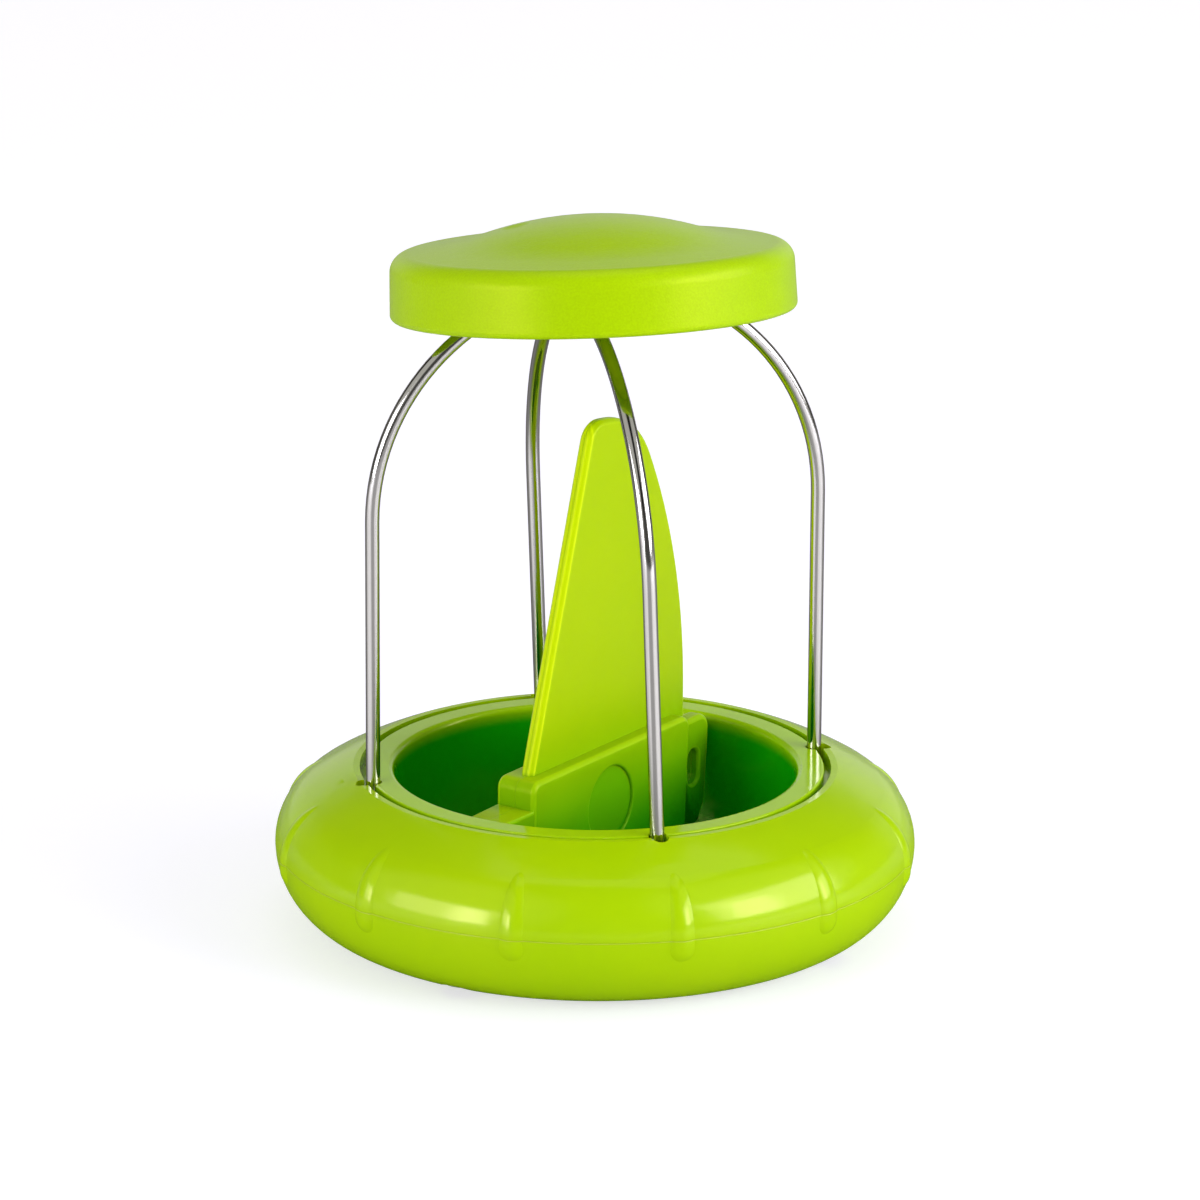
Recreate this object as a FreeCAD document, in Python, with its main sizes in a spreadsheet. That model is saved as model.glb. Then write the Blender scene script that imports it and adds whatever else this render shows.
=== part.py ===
import FreeCAD, Part
import math
import os
import Sketcher

# Kiwi slicer, millimetres, +Z up, origin on the table at the middle of the ring.
# A ribbed grip ring made of two shells and an inner collar holds two crossing wire arches.
# A knife stands in the ring's round hole and a domed cap covers the crossing of the arches.
# The arches stand on the X and Y axes, the knife's plane is turned between them.

os.makedirs("parts", exist_ok=True)
doc = FreeCAD.newDocument("kiwi_slicer")
Vec = FreeCAD.Vector
Rot = FreeCAD.Rotation
X_AXIS = Vec(1, 0, 0)
Y_AXIS = Vec(0, 1, 0)
Z_AXIS = Vec(0, 0, 1)

# Driving dimensions, one for each size that can be set by itself.
driving = {
    # grip ring
    "ring_radius": 45.0,            # to the parting plane, ribs not counted
    "land_height": 22.5,            # flat top of the ring above the table
    "equator_height": 11.65,        # parting plane of the two shells
    "side_radius": 8.95,            # outer side of the upper shell
    "crown_radius": 41.0,           # gentle slope from the lip to the side
    "lip_width": 0.9,               # flat rim of the upper shell beside the groove
    "shell_wall": 2.0,
    "hole_radius": 28.3,            # round hole through the ring
    "land_width": 3.8,              # flat top of the collar, its edge is the wires' circle
    "groove_width": 1.0,
    "flange_thickness": 2.0,        # collar's flange, also the groove's depth
    "collar_wall": 1.8,
    "hole_edge_round": 0.8,
    "flange_edge_round": 0.25,
    "fit_gap": 0.3,                 # collar tube to both shells
    "shelf_thickness": 2.0,         # the upper shell's shelf under the collar's flange
    "skirt_wall": 2.2,
    "upstand_wall": 1.6,            # the lower shell's wall round the collar tube
    "foot_margin": 0.5,             # least flat of the foot outside that wall
    "tongue_height": 1.4,           # centring tongue above the parting plane
    "tongue_wall": 1.2,
    "tongue_gap": 0.25,
    "tongue_root_drop": 3.6,        # foot of the tongue below the parting plane
    # grip ribs
    "rib_width": 3.2,
    "rib_height": 0.45,             # how far a rib stands out at the parting plane
    "rib_sweep_radius": 5.6,        # smaller than the side, so that a rib fades out upward
    "rib_drop": 1.0,                # straight end below the parting plane
    # wire arches
    "wire_diameter": 2.0,
    "arch_spring_height": 60.2,     # where the legs of the upper arch start to curve
    "lower_arch_spring_height": 56.6,
    "lower_arch_lean": 2.2,         # degrees, toward -X
    "back_foot_offset": 0.75,       # the rear foot stands that far beside its true place
    "foot_height": 13.0,            # level of the bent feet inside the ring
    "foot_bend_radius": 3.0,
    "foot_share": 0.589,            # how far a foot reaches, as a share of the room between wires and side
    "notch_width": 2.5,
    "notch_reach": 2.5,             # outward from the wire's centre
    # clamps over and under each foot
    "clamp_width": 6.0,
    "clamp_share": 0.264,           # where a clamp begins, as a share of that room
    "clamp_length_share": 0.233,
    "clamp_gap": 0.2,               # between the two halves of a clamp
    "foot_gap": 0.45,               # round a foot in its clamp
    # screws from below
    "screw_share": 0.341,           # where the screws stand, as a share of that room
    "screw_head_diameter": 5.0,
    "screw_head_height": 1.8,
    "screw_shank_diameter": 2.6,
    "screw_length": 14.0,
    "screw_point": 2.0,
    "screw_point_radius": 0.33,
    "screw_seat_height": 3.2,       # the head's seat above the table
    "screw_play": 0.25,             # round the shank in the lower shell
    "head_play": 0.4,
    "pilot_play": 0.04,             # round the shank in the upper shell
    "pilot_extra": 1.2,
    "lower_boss_radius": 4.0,
    "upper_boss_radius": 3.0,
    "drive_slot_width": 0.7,
    "drive_slot_length": 2.8,
    "drive_slot_depth": 1.0,
    # knife
    "knife_angle": 40.5,            # degrees from +X toward +Y
    "handle_thickness": 6.5,
    "handle_rise": 2.9,             # top of the handle above the land
    "handle_drop": 16.5,            # underside of the handle below the land
    "handle_left": 19.8,
    "handle_right": 19.4,
    "handle_lean": 1.0,             # how far the right end leans in at the bottom
    "handle_corner_round": 1.7,
    "handle_edge_round": 0.8,
    "tab_wall_gap": 0.9,            # tab's end to the hole's wall
    "tab_drop": 1.1,                # flat top of the tab below the land
    "tab_thickness": 6.1,
    "ear_wall_gap": 1.1,            # ear's end to the hole's wall
    "ear_thickness": 2.6,
    "ear_rise": 1.0,
    "ear_drop": 15.0,
    "ear_lean": 1.0,                # the ear's end leans in by that at its lower corner
    "ear_top_round": 2.2,
    "ear_bottom_round": 4.0,
    "ear_slot_inset": 4.05,         # ear's end to the middle of its slot
    "ear_slot_width": 2.7,
    "ear_slot_length": 5.3,
    "ear_slot_drop": 6.3,           # middle of the slot below the land
    "blade_thickness": 2.1,
    "blade_heel": 18.2,             # spine at the level of the land, from the ring's axis
    "spine_tip": 2.42,              # spine at the blade's tip, from the ring's axis
    "blade_top": 50.06,             # nose of the blade above the land
    "tip_rise": 0.4,                # the spine's end stands above the nose
    "blade_nose_radius": 13.0,
    "blade_edge_radius": 79.3,
    "blade_edge_reach": 21.24,      # farthest point of the curved edge from the axis
    "blade_edge_level": 6.17,       # height above the land of that farthest point
    "blade_tip_round": 3.4,
    "blade_bevel": 0.55,            # all round the blade, on both faces
    "thumb_radius": 5.45,           # round recess for the thumb
    "thumb_shift": 0.8,             # its middle left of the ring's axis
    "thumb_drop": 5.0,              # and below the land
    "thumb_depth": 1.0,
    # rests for the knife on the collar's wall
    "rest_gap": 0.3,
    "rest_height": 3.0,
    "rest_width": 6.0,
    "rest_reach": 7.6,              # inward from the hole's wall
    "cheek_wall": 1.5,
    "cheek_reach": 4.2,
    "cheek_drop": 3.2,              # top of the cheeks below the land
    # cap
    "cap_radius": 28.15,
    "cap_draft": 0.3,
    "cap_height": 9.2,              # rim to the flat ring round the dome
    "cap_top_round": 2.6,
    "cap_rim_round": 0.8,
    "cap_wall": 1.8,
    "cap_slope": 0.43,               # rise of the flat ring toward the dome
    "dome_radius": 22.1,
    "dome_rise": 3.86,
    "dome_curve": 50.6,
    "dome_hollow_curve": 36.6,      # concave curve between dome and flat ring
    "dimple_diameter": 4.6,
    "dimple_depth": 0.35,
    "dimple_place": 10.3,           # from the cap's axis
    "dimple_angle": 168.0,          # degrees
    "cap_tilt": 7.55,               # degrees
    "cap_tilt_angle": 92.8,         # degrees, the side that the cap's axis leans to
    "cap_sink": 4.4,                # rim plane below the centre line of the upper arch's crown
    "cap_shift_x": -0.55,
    "cap_shift_y": 0.15,
    "guide_gap": 0.45,              # guide ribs of the cap to the upper arch
    "guide_sag": 1.2,               # mean drop of the wire along the guides
    "guide_wall": 1.2,
    "guide_length": 26.0,
    "guide_start": 2.9,             # lower edge of the guide ribs above the rim plane
    "seat_gap": 0.3,                # seat of the cap above the wire
    "seat_length": 5.0,
}
wire_count = 4
rib_count = 12
screw_count = 4

sheet = doc.addObject("Spreadsheet::Sheet", "Sizes")
for row, (alias, number) in enumerate(driving.items(), start=1):
    sheet.set("A%d" % row, str(number))
    sheet.setAlias("A%d" % row, alias)
doc.recompute()


class Size:
    """A number together with the sheet formula that drives it."""

    def __init__(self, number, text):
        self.number = float(number)
        self.text = text

    def joined(self, other, sign, number):
        return Size(number, "(%s %s %s)" % (self.text, sign, as_size(other).text))

    def __add__(self, other):
        return self.joined(other, "+", self.number + as_size(other).number)

    def __sub__(self, other):
        return self.joined(other, "-", self.number - as_size(other).number)

    def __mul__(self, other):
        return self.joined(other, "*", self.number * as_size(other).number)

    def __truediv__(self, other):
        return self.joined(other, "/", self.number / as_size(other).number)

    def __neg__(self):
        return as_size(0) - self


def as_size(value):
    return value if isinstance(value, Size) else Size(value, repr(float(value)))


def root(value):
    return Size(math.sqrt(value.number), "sqrt(%s)" % value.text)


def sine(angle):
    return Size(math.sin(math.radians(angle.number)), "sin(%s * 1 deg)" % angle.text)


def larger(one, other):
    return Size(max(one.number, other.number), "max(%s; %s)" % (one.text, other.text))


def cosine(angle):
    return Size(math.cos(math.radians(angle.number)), "cos(%s * 1 deg)" % angle.text)


class Names:
    pass


z = Names()
for alias, number in driving.items():
    setattr(z, alias, Size(number, "Sizes." + alias))


def bind(thing, prop, size):
    thing.setExpression(prop, as_size(size).text)


# Sizes that follow from the driving ones.
wire_circle = z.hole_radius + z.land_width
wire_radius = z.wire_diameter / 2
groove_outer = wire_circle + z.groove_width
lip_outer = groove_outer + z.lip_width
side_centre = z.ring_radius - z.side_radius
tube_outer = z.hole_radius + z.collar_wall
bore_of_shells = tube_outer + z.fit_gap
skirt_outer = groove_outer + z.skirt_wall
flange_level = z.land_height - z.flange_thickness
shelf_bottom = flange_level - z.shelf_thickness
upstand_outer = bore_of_shells + z.upstand_wall
# The lower side is one arc from the flat foot to the parting plane, upright where it ends.
foot_outer = larger(z.ring_radius - z.equator_height, upstand_outer + z.foot_margin)
lower_run = z.ring_radius - foot_outer
lower_radius = (lower_run * lower_run + z.equator_height * z.equator_height) / (lower_run * 2)
lower_centre = z.ring_radius - lower_radius
lower_inside = lower_radius - z.shell_wall
inside_drop = z.equator_height - z.shell_wall
floor_end = lower_centre + root(larger(lower_inside * lower_inside - inside_drop * inside_drop, as_size(0)))
# Room inside the ring between the wires' circle and the side: feet, clamps and screws share it.
room = z.ring_radius - wire_circle
foot_tip = wire_circle + room * z.foot_share
clamp_start = wire_circle + room * z.clamp_share
clamp_length = room * z.clamp_length_share
screw_circle = wire_circle + room * z.screw_share


def plane_of(body, role):
    return [item for item in body.Origin.OriginFeatures if item.Role == role][0]


def new_body(name):
    return doc.addObject("PartDesign::Body", name)


def arc_centre(start, end, radius, left):
    """Centre of the short arc from start to end, on the left or right of the chord."""
    dx = end[0] - start[0]
    dy = end[1] - start[1]
    chord = math.hypot(dx, dy)
    off = math.sqrt(max(radius * radius - chord * chord / 4, 0.0))
    side = 1.0 if left else -1.0
    mid_x = (start[0] + end[0]) / 2
    mid_y = (start[1] + end[1]) / 2
    return mid_x - side * off * dy / chord, mid_y + side * off * dx / chord


def tangent_join(fixed_centre, fixed_radius, end, radius):
    """Point where an arc through end runs smoothly into the smaller arc round fixed_centre."""
    dx = end[0] - fixed_centre[0]
    dy = end[1] - fixed_centre[1]
    gap = math.hypot(dx, dy)
    apart = radius - fixed_radius
    along = (apart * apart - radius * radius + gap * gap) / (2 * gap)
    across = math.sqrt(max(apart * apart - along * along, 0.0))
    found = []
    for side in (1.0, -1.0):
        cx = fixed_centre[0] + (along * dx - side * across * dy) / gap
        cy = fixed_centre[1] + (along * dy + side * across * dx) / gap
        found.append((cx, cy))
    cx, cy = min(found)
    reach = math.hypot(fixed_centre[0] - cx, fixed_centre[1] - cy)
    return (cx + (fixed_centre[0] - cx) / reach * radius, cy + (fixed_centre[1] - cy) / reach * radius)


def lock(sketch, geometry, position, point, kinds=("DistanceX", "DistanceY")):
    """Ties a point of the sketch to the sheet."""
    for kind, coordinate in zip(("DistanceX", "DistanceY"), point):
        if kind not in kinds:
            continue
        size = as_size(coordinate)
        index = sketch.addConstraint(Sketcher.Constraint(kind, -1, 1, geometry, position, size.number))
        if "Sizes." in size.text:
            sketch.setExpression("Constraints[%d]" % index, size.text)


def value_of(coordinate):
    return coordinate.number if isinstance(coordinate, Size) else float(coordinate)


def draw(sketch, points, edges, closed=True):
    """Draws a profile. A point is (x, y), or (x, y, "smooth") where two edges meet smoothly.

    An edge is None for a line, or (radius, left) for an arc, or (radius, left, centre)
    for an arc whose centre is tied to the sheet too. A plain number in the centre is only
    where the solving starts.
    """
    flat = [(value_of(point[0]), value_of(point[1])) for point in points]
    free = [len(point) == 3 for point in points]
    count = len(edges)
    for index, edge in enumerate(edges):
        start = flat[index]
        end = flat[(index + 1) % len(flat)]
        if edge is None:
            sketch.addGeometry(Part.LineSegment(Vec(start[0], start[1], 0), Vec(end[0], end[1], 0)), False)
            continue
        radius = value_of(edge[0])
        if len(edge) == 3:
            cx, cy = value_of(edge[2][0]), value_of(edge[2][1])
        else:
            cx, cy = arc_centre(start, end, radius, edge[1])
        circle = Part.Circle(Vec(cx, cy, 0), Z_AXIS, radius)
        first = math.atan2(start[1] - cy, start[0] - cx)
        last = math.atan2(end[1] - cy, end[0] - cx)
        if not edge[1]:
            first, last = last, first
        if last < first:
            last += 2 * math.pi
        sketch.addGeometry(Part.ArcOfCircle(circle, first, last), False)

    def start_of(index):
        edge = edges[index]
        return 1 if edge is None or edge[1] else 2

    def end_of(index):
        return 3 - start_of(index)

    for index in range(count):
        following = (index + 1) % count
        if following == 0 and not closed:
            continue
        kind = "Tangent" if free[(index + 1) % len(flat)] else "Coincident"
        sketch.addConstraint(Sketcher.Constraint(kind, index, end_of(index), following, start_of(following)))
    for index in range(len(flat)):
        if free[index]:
            continue
        if index < count:
            lock(sketch, index, start_of(index), points[index])
        else:
            lock(sketch, count - 1, end_of(count - 1), points[index])
    for index, edge in enumerate(edges):
        if edge is None:
            continue
        following = (index + 1) % len(flat)
        both_free = free[index] and free[following]
        if len(edge) == 3 and (free[index] or free[following]):
            kinds = [kind for kind, coordinate in zip(("DistanceX", "DistanceY"), edge[2])
                     if isinstance(coordinate, Size)]
            lock(sketch, index, 3, edge[2], kinds)
            if both_free:
                where = sketch.addConstraint(Sketcher.Constraint("Radius", index, value_of(edge[0])))
                sketch.setExpression("Constraints[%d]" % where, as_size(edge[0]).text)
        elif len(edge) == 3:
            # With both ends tied, one coordinate of the centre is enough.
            flatter = abs(flat[following][0] - flat[index][0]) >= abs(flat[following][1] - flat[index][1])
            lock(sketch, index, 3, edge[2], ("DistanceY",) if flatter else ("DistanceX",))
        else:
            size = as_size(edge[0])
            where = sketch.addConstraint(Sketcher.Constraint("Radius", index, size.number))
            sketch.setExpression("Constraints[%d]" % where, size.text)


def sketch_in(body, name, role, points, edges, offset=None):
    sketch = body.newObject("Sketcher::SketchObject", name)
    sketch.AttachmentSupport = [(plane_of(body, role), "")]
    sketch.MapMode = "FlatFace"
    if offset is not None:
        bind(sketch, "AttachmentOffset.Base.z", offset)
    draw(sketch, points, edges)
    return sketch


def revolved(name, points, edges=None, body=None):
    """A turned solid round the Z axis, its section drawn as radius and height."""
    body = body or new_body(name)
    sketch = sketch_in(body, name + "_section", "XZ_Plane", points, edges or [None] * len(points))
    feature = body.newObject("PartDesign::Revolution", name + "_turned")
    feature.Profile = sketch
    feature.ReferenceAxis = (sketch, ["V_Axis"])
    feature.Angle = 360
    return body


def padded(body, name, points, edges, thickness):
    """A plate in the XZ plane, as thick to both sides."""
    sketch = sketch_in(body, name + "_outline", "XZ_Plane", points, edges)
    pad = body.newObject("PartDesign::Pad", name)
    pad.Profile = sketch
    pad.SideType = "Symmetric"
    bind(pad, "Length", thickness)
    doc.recompute()
    return pad


def edges_at(feature, wanted):
    """Names of the edges for which wanted(edge) holds."""
    return ["Edge%d" % (index + 1) for index, edge in enumerate(feature.Shape.Edges) if wanted(edge)]


def dressed(body, kind, base, names, size, name):
    """A fillet or a chamfer on the named edges."""
    feature = body.newObject("PartDesign::" + kind, name)
    feature.Base = (base, names)
    bind(feature, "Radius" if kind == "Fillet" else "Size", size)
    doc.recompute()
    return feature


def crosswise(edge, x, height, near=0.05):
    """Whether the edge runs through the plate's thickness at the given place."""
    ends = [vertex.Point for vertex in edge.Vertexes]
    if len(ends) != 2:
        return False
    if abs(ends[0].x - ends[1].x) > near or abs(ends[0].z - ends[1].z) > near:
        return False
    return abs(ends[0].x - value_of(x)) < near and abs(ends[0].z - value_of(height)) < near


def primitive(kind, name, sizes, place=(0, 0, 0), rotation=None):
    """A box, cylinder, cone, sphere or torus whose sizes and place follow the sheet."""
    thing = doc.addObject("Part::" + kind, name)
    thing.Placement = FreeCAD.Placement(Vec(0, 0, 0), rotation or Rot())
    for prop, size in sizes.items():
        if isinstance(size, Size):
            bind(thing, prop, size)
        else:
            setattr(thing, prop, size)
    for axis, coordinate in zip("xyz", place):
        bind(thing, "Placement.Base." + axis, coordinate)
    return thing


def fuse(name, shapes):
    joined = doc.addObject("Part::MultiFuse", name)
    joined.Shapes = shapes
    joined.Refine = False
    return joined


def cut(name, base, tool):
    result = doc.addObject("Part::Cut", name)
    result.Base = base
    result.Tool = tool
    result.Refine = False
    return result


def common(name, first, second):
    result = doc.addObject("Part::MultiCommon", name)
    result.Shapes = [first, second]
    result.Refine = False
    return result


def around(radius, angle, sideways=0):
    """Place on a circle: radius out at the angle in degrees, then sideways to the left."""
    c = math.cos(math.radians(angle))
    s = math.sin(math.radians(angle))
    radius = as_size(radius)
    sideways = as_size(sideways)
    return radius * c - sideways * s, radius * s + sideways * c


def turned(angle):
    return Rot(Z_AXIS, angle)


def block(name, start, length, width, bottom, height, angle):
    """A box that points outward at the angle, from the radius start on, centred sideways."""
    x, y = around(start, angle, -(as_size(width) / 2))
    sizes = {"Length": as_size(length), "Width": as_size(width), "Height": as_size(height)}
    return primitive("Box", name, sizes, (x, y, as_size(bottom)), turned(angle))


# Places round the ring.
wire_angles = [360.0 / wire_count * index for index in range(wire_count)]
screw_angles = [angle + 180.0 / screw_count for angle in (360.0 / screw_count * k for k in range(screw_count))]
rib_angles = [360.0 / rib_count * index for index in range(rib_count)]
BACK = 90.0


def foot_place(angle, radius):
    """The rear foot stands a little beside its true place."""
    sideways = -z.back_foot_offset if angle == BACK else as_size(0)
    return around(radius, angle, sideways)


# Upper shell: skin of the ring from the parting plane to the groove, with the shelf
# that carries the collar. Its section, then its hollow.
crown_join = tangent_join(
    (side_centre.number, z.equator_height.number), z.side_radius.number,
    (lip_outer.number, z.land_height.number), z.crown_radius.number)
upper_outside = revolved(
    "upper_outside",
    [
        (bore_of_shells, z.equator_height),
        (z.ring_radius, z.equator_height),
        crown_join + ("smooth",),
        (lip_outer, z.land_height),
        (groove_outer, z.land_height),
        (groove_outer, flange_level),
        (bore_of_shells, flange_level),
    ],
    [
        None,
        (z.side_radius, True, (side_centre, z.equator_height)),
        (z.crown_radius, True),
        None, None, None, None,
    ])
hollow_join = tangent_join(
    (side_centre.number, z.equator_height.number), (z.side_radius - z.shell_wall).number,
    (skirt_outer.number, flange_level.number), (z.crown_radius - z.shell_wall).number)
upper_hollow = revolved(
    "upper_hollow",
    [
        (z.hole_radius, z.equator_height - z.shell_wall),
        (z.ring_radius - z.shell_wall, z.equator_height - z.shell_wall),
        (z.ring_radius - z.shell_wall, z.equator_height),
        hollow_join + ("smooth",),
        (skirt_outer, flange_level),
        (skirt_outer, shelf_bottom),
        (z.hole_radius, shelf_bottom),
    ],
    [
        None, None,
        (z.side_radius - z.shell_wall, True, (side_centre, z.equator_height)),
        (z.crown_radius - z.shell_wall, True),
        None, None, None,
    ])

# Lower shell: a quarter round from the parting plane to the flat foot.
lower_outside = revolved(
    "lower_outside",
    [
        (bore_of_shells, 0),
        (foot_outer, 0),
        (z.ring_radius, z.equator_height),
        (bore_of_shells, z.equator_height),
    ],
    [None, (lower_radius, True, (lower_centre, z.equator_height)), None, None])
lower_hollow = revolved(
    "lower_hollow",
    [
        (upstand_outer, z.shell_wall),
        (floor_end, z.shell_wall),
        (z.ring_radius - z.shell_wall, z.equator_height),
        (z.ring_radius - z.shell_wall, z.equator_height + z.shell_wall),
        (upstand_outer, z.equator_height + z.shell_wall),
    ],
    [None, (lower_inside, True, (lower_centre, z.equator_height)), None, None, None])

# Centring tongue: stands up from the lower shell just inside the upper shell's side.
inner_side = z.side_radius - z.shell_wall
tongue_outer = side_centre + root(inner_side * inner_side - z.tongue_height * z.tongue_height) - z.tongue_gap
tongue_inner = tongue_outer - z.tongue_wall
tongue_foot = z.equator_height - z.tongue_root_drop
tongue_root = lower_centre + root(
    lower_inside * lower_inside - z.tongue_root_drop * z.tongue_root_drop) + z.shell_wall / 2
tongue = revolved(
    "tongue",
    [
        (tongue_inner, z.equator_height - z.tongue_wall),
        (tongue_root, tongue_foot),
        (z.ring_radius - z.shell_wall / 2, z.equator_height),
        (tongue_outer, z.equator_height),
        (tongue_outer, z.equator_height + z.tongue_height),
        (tongue_inner, z.equator_height + z.tongue_height),
    ])

# Grip ribs: round bars let into the side. They follow the side more tightly than the
# skin does, so that they fade out upward, and end in a round lobe below the parting plane.
half_width = z.rib_width / 2
rib_tube = (half_width * half_width + z.rib_height * z.rib_height) / (z.rib_height * 2)
rib_line = z.ring_radius + z.rib_height - rib_tube
upper_ribs = []
lower_ribs = []
for number, angle in enumerate(rib_angles):
    x, y = around(rib_line - z.rib_sweep_radius, angle)
    upright = turned(angle).multiply(Rot(X_AXIS, 90))
    upper_ribs.append(primitive(
        "Torus", "rib_sweep_%02d" % number,
        {"Radius1": z.rib_sweep_radius, "Radius2": rib_tube, "Angle3": 90.0},
        (x, y, z.equator_height), upright))
    x, y = around(rib_line, angle)
    low = z.equator_height - z.rib_drop
    lower_ribs.append(primitive(
        "Cylinder", "rib_end_%02d" % number, {"Radius": rib_tube, "Height": z.rib_drop}, (x, y, low)))
    lower_ribs.append(primitive(
        "Sphere", "rib_lobe_%02d" % number, {"Radius": rib_tube}, (x, y, low)))

# Screw bosses in both shells and clamps for the wires' feet.
upper_inside = []
lower_inside_pieces = []
upper_holes = []
lower_holes = []
boss_top = z.land_height + z.shell_wall
for number, angle in enumerate(screw_angles):
    x, y = around(screw_circle, angle)
    shank = z.screw_shank_diameter / 2
    upper_inside.append(primitive(
        "Cylinder", "upper_boss_%d" % number,
        {"Radius": z.upper_boss_radius, "Height": boss_top - z.equator_height}, (x, y, z.equator_height)))
    lower_inside_pieces.append(primitive(
        "Cylinder", "lower_boss_%d" % number,
        {"Radius": z.lower_boss_radius, "Height": z.equator_height}, (x, y, as_size(0))))
    upper_holes.append(primitive(
        "Cylinder", "pilot_%d" % number,
        {"Radius": shank + z.pilot_play,
         "Height": z.screw_seat_height + z.screw_length + z.pilot_extra - z.equator_height},
        (x, y, z.equator_height)))
    lower_holes.append(primitive(
        "Cylinder", "screw_passage_%d" % number,
        {"Radius": shank + z.screw_play, "Height": z.equator_height}, (x, y, as_size(0))))
    lower_holes.append(primitive(
        "Cylinder", "counterbore_%d" % number,
        {"Radius": z.screw_head_diameter / 2 + z.head_play, "Height": z.screw_seat_height},
        (x, y, as_size(0))))
for number, angle in enumerate(wire_angles):
    upper_inside.append(block(
        "upper_clamp_%d" % number, clamp_start, clamp_length, z.clamp_width,
        z.foot_height + z.clamp_gap / 2, boss_top - z.foot_height, angle))
    lower_inside_pieces.append(block(
        "lower_clamp_%d" % number, clamp_start, clamp_length, z.clamp_width,
        as_size(0), z.foot_height - z.clamp_gap / 2, angle))
    x, y = foot_place(angle, clamp_start - z.foot_gap)
    outward = turned(angle).multiply(Rot(Y_AXIS, 90))
    channel = {"Radius": wire_radius + z.foot_gap, "Height": clamp_length + z.foot_gap * 2}
    upper_holes.append(primitive("Cylinder", "upper_channel_%d" % number, channel, (x, y, z.foot_height), outward))
    lower_holes.append(primitive("Cylinder", "lower_channel_%d" % number, channel, (x, y, z.foot_height), outward))
    x, y = foot_place(angle, wire_circle)
    notch_x, notch_y = around(
        wire_circle - z.land_width, angle,
        (-z.back_foot_offset if angle == BACK else as_size(0)) - z.notch_width / 2)
    upper_holes.append(primitive(
        "Box", "shell_notch_%d" % number,
        {"Length": z.land_width + z.notch_reach - z.notch_width / 2, "Width": z.notch_width,
         "Height": z.land_height + z.shell_wall - shelf_bottom + z.shelf_thickness},
        (notch_x, notch_y, shelf_bottom - z.shelf_thickness), turned(angle)))
    round_x, round_y = foot_place(angle, wire_circle + z.notch_reach - z.notch_width / 2)
    upper_holes.append(primitive(
        "Cylinder", "shell_notch_end_%d" % number,
        {"Radius": z.notch_width / 2,
         "Height": z.land_height + z.shell_wall - shelf_bottom + z.shelf_thickness},
        (round_x, round_y, shelf_bottom - z.shelf_thickness)))

upper_skin = cut("upper_skin", fuse("upper_with_ribs", [upper_outside] + upper_ribs), upper_hollow)
upper_furniture = common("upper_furniture", upper_outside, fuse("upper_blocks", upper_inside))
upper_shell = cut(
    "upper_shell_piece",
    fuse("upper_joined", [upper_skin, upper_furniture]),
    fuse("upper_openings", upper_holes))

lower_limit = primitive(
    "Cylinder", "lower_limit", {"Radius": z.ring_radius * 2, "Height": z.equator_height})
lower_round = common("lower_ribs_trimmed", lower_limit, fuse("lower_rib_bars", lower_ribs))
lower_skin = cut("lower_skin", fuse("lower_with_ribs", [lower_outside, lower_round]), lower_hollow)
lower_reach = revolved(
    "lower_reach",
    [
        (upstand_outer - z.upstand_wall / 2, 0),
        (foot_outer, 0),
        (z.ring_radius, z.equator_height),
        (z.ring_radius - z.shell_wall, z.equator_height),
        (z.ring_radius - z.shell_wall, z.foot_height),
        (upstand_outer - z.upstand_wall / 2, z.foot_height),
    ],
    [None, (lower_radius, True, (lower_centre, z.equator_height)), None, None, None, None])
lower_furniture = common("lower_furniture", lower_reach, fuse("lower_blocks", lower_inside_pieces))
lower_shell = cut(
    "lower_shell_piece",
    fuse("lower_joined", [lower_skin, lower_furniture, tongue]),
    fuse("lower_openings", lower_holes))

# Inner collar: flat land and the wall of the hole, one turned piece with four notches
# for the wires and two rests for the knife.
collar_body = revolved(
    "collar_turned",
    [
        (z.hole_radius, 0),
        (tube_outer, 0),
        (tube_outer, flange_level),
        (wire_circle, flange_level),
        (wire_circle, z.land_height),
        (z.hole_radius, z.land_height),
    ])
doc.recompute()
collar_turning = collar_body.Tip


def circle_at(edge, radius, height):
    if edge.Degenerated or not hasattr(edge.Curve, "Radius"):
        return False
    curve = edge.Curve
    centre = curve.Center
    return abs(curve.Radius - radius.number) < 0.01 and abs(centre.z - height.number) < 0.01


hole_edge = edges_at(collar_turning, lambda edge: circle_at(edge, z.hole_radius, z.land_height))
hole_rounding = dressed(collar_body, "Fillet", collar_turning, hole_edge, z.hole_edge_round, "hole_rounding")
flange_edge = edges_at(hole_rounding, lambda edge: circle_at(edge, wire_circle, z.land_height))
dressed(collar_body, "Fillet", hole_rounding, flange_edge, z.flange_edge_round, "flange_rounding")

rest_top = z.land_height - z.ear_drop - z.rest_gap
rest_start = z.hole_radius - z.rest_reach
rest_length = z.rest_reach + z.collar_wall / 2
ear_angle = z.knife_angle.number
tab_angle = ear_angle + 180.0
cheek_inner = z.handle_thickness / 2 + z.rest_gap
cheek_bottom = rest_top - z.rest_height
cheek_height = z.land_height - z.cheek_drop - cheek_bottom
rests = [
    block("ear_rest", rest_start, rest_length, z.rest_width, cheek_bottom, z.rest_height, ear_angle),
    block("tab_rest", rest_start, rest_length, z.rest_width, cheek_bottom, z.rest_height, tab_angle),
]
for name, sideways in (("left_cheek", cheek_inner), ("right_cheek", -(cheek_inner + z.cheek_wall))):
    x, y = around(z.hole_radius - z.cheek_reach, tab_angle, sideways)
    rests.append(primitive(
        "Box", name,
        {"Length": z.cheek_reach + z.collar_wall / 2, "Width": z.cheek_wall, "Height": cheek_height},
        (x, y, cheek_bottom), turned(tab_angle)))
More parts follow.
